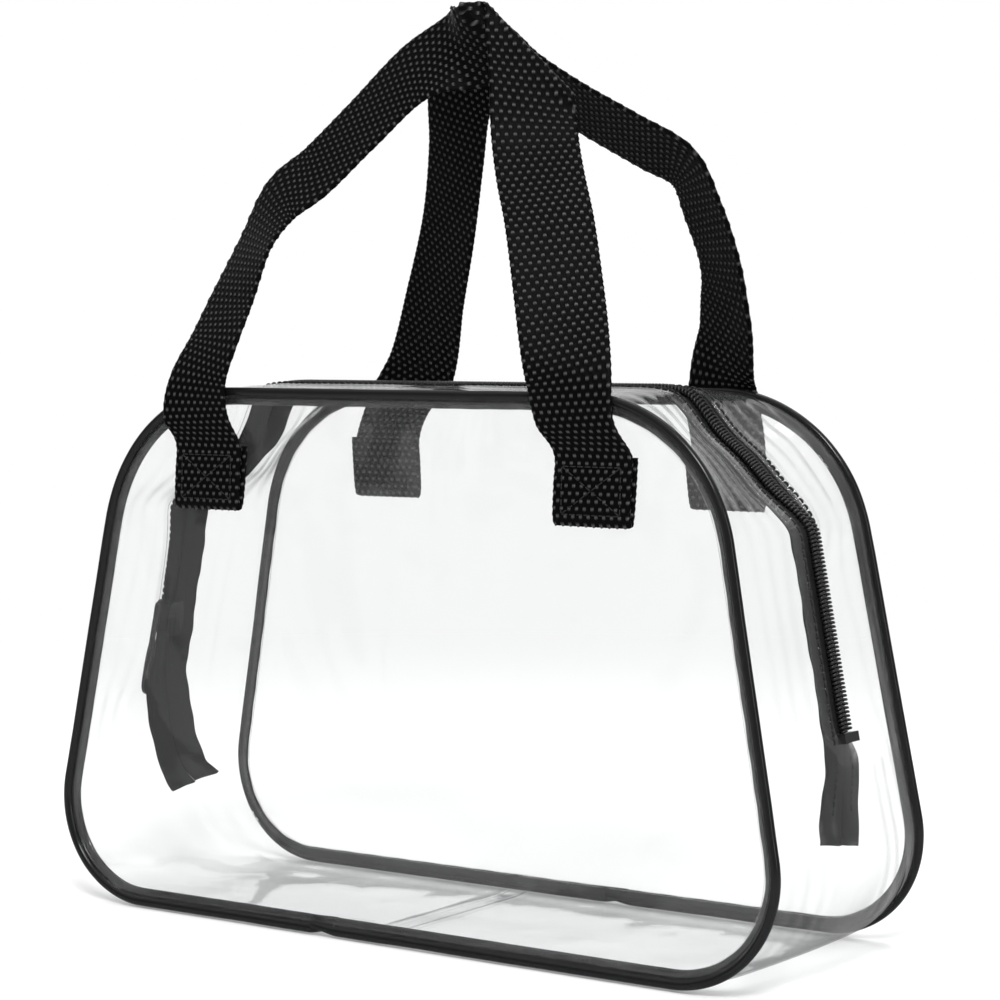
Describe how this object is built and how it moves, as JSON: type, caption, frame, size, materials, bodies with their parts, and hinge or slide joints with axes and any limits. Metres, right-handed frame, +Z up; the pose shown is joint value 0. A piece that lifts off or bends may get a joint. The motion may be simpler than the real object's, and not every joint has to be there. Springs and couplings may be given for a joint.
{
  "type": "clear makeup bag",
  "caption": "Clear vinyl make-up bag with black piping, a coil zip over the top and two webbing carrying handles that swing outward.",
  "frame": {"origin": "on the ground under the middle of the bag", "axes": "+X along the bag's width to its right end as seen from the front, +Y towards the back, +Z up"},
  "size_m": [0.2912, 0.099, 0.3037],
  "materials": {
    "clear_vinyl": "clear flexible vinyl sheet, glossy, faintly hazy with soft creases",
    "black_piping": "glossy black flexible vinyl piping",
    "zip_tape": "black woven polyester tape, matt",
    "zip_coil": "black nylon coil with a slight sheen",
    "black_metal": "black enamelled die-cast metal, satin",
    "webbing": "black polypropylene webbing in a coarse plain weave, slight sheen",
    "thread": "black polyester sewing thread"
  },
  "bodies": {
    "bag_body": {"front_panel": "clear_vinyl", "rear_panel": "clear_vinyl", "gusset_band": "clear_vinyl", "front_piping": "black_piping", "rear_piping": "black_piping", "front_zip_tape": "zip_tape", "rear_zip_tape": "zip_tape", "front_zip_coil": "zip_coil", "rear_zip_coil": "zip_coil", "zip_stitching": "thread", "left_zip_stop": "black_metal", "right_zip_stop": "black_metal", "front_left_handle_tab": "webbing", "front_right_handle_tab": "webbing", "rear_left_handle_tab": "webbing", "rear_right_handle_tab": "webbing", "front_left_tab_stitching": "thread", "front_right_tab_stitching": "thread", "rear_left_tab_stitching": "thread", "rear_right_tab_stitching": "thread"},
    "front_handle": {"front_handle_strap": "webbing"},
    "rear_handle": {"rear_handle_strap": "webbing"},
    "slider": {"zip_slider": "black_metal"},
    "pull_tab": {"zip_pull_tab": "black_metal"}
  },
  "joints": [
    {"name": "front_handle_swing", "type": "hinge", "parent": "bag_body", "child": "front_handle", "pos_m": [0, -0.0467, 0.1613], "axis": [1, 0, 0], "range_deg": [0, 160]},
    {"name": "rear_handle_swing", "type": "hinge", "parent": "bag_body", "child": "rear_handle", "pos_m": [0, 0.0467, 0.1613], "axis": [-1, 0, 0], "range_deg": [0, 160]},
    {"name": "slider_travel", "type": "slide", "parent": "bag_body", "child": "slider", "axis": [0.1876, 0, 0.9822], "range_m": [-0.012, 0.034]},
    {"name": "pull_tab_flip", "type": "hinge", "parent": "slider", "child": "pull_tab", "pos_m": [-0.13983, 0, 0.09221], "axis": [0, 1, 0], "range_deg": [0, 175]}
  ]
}
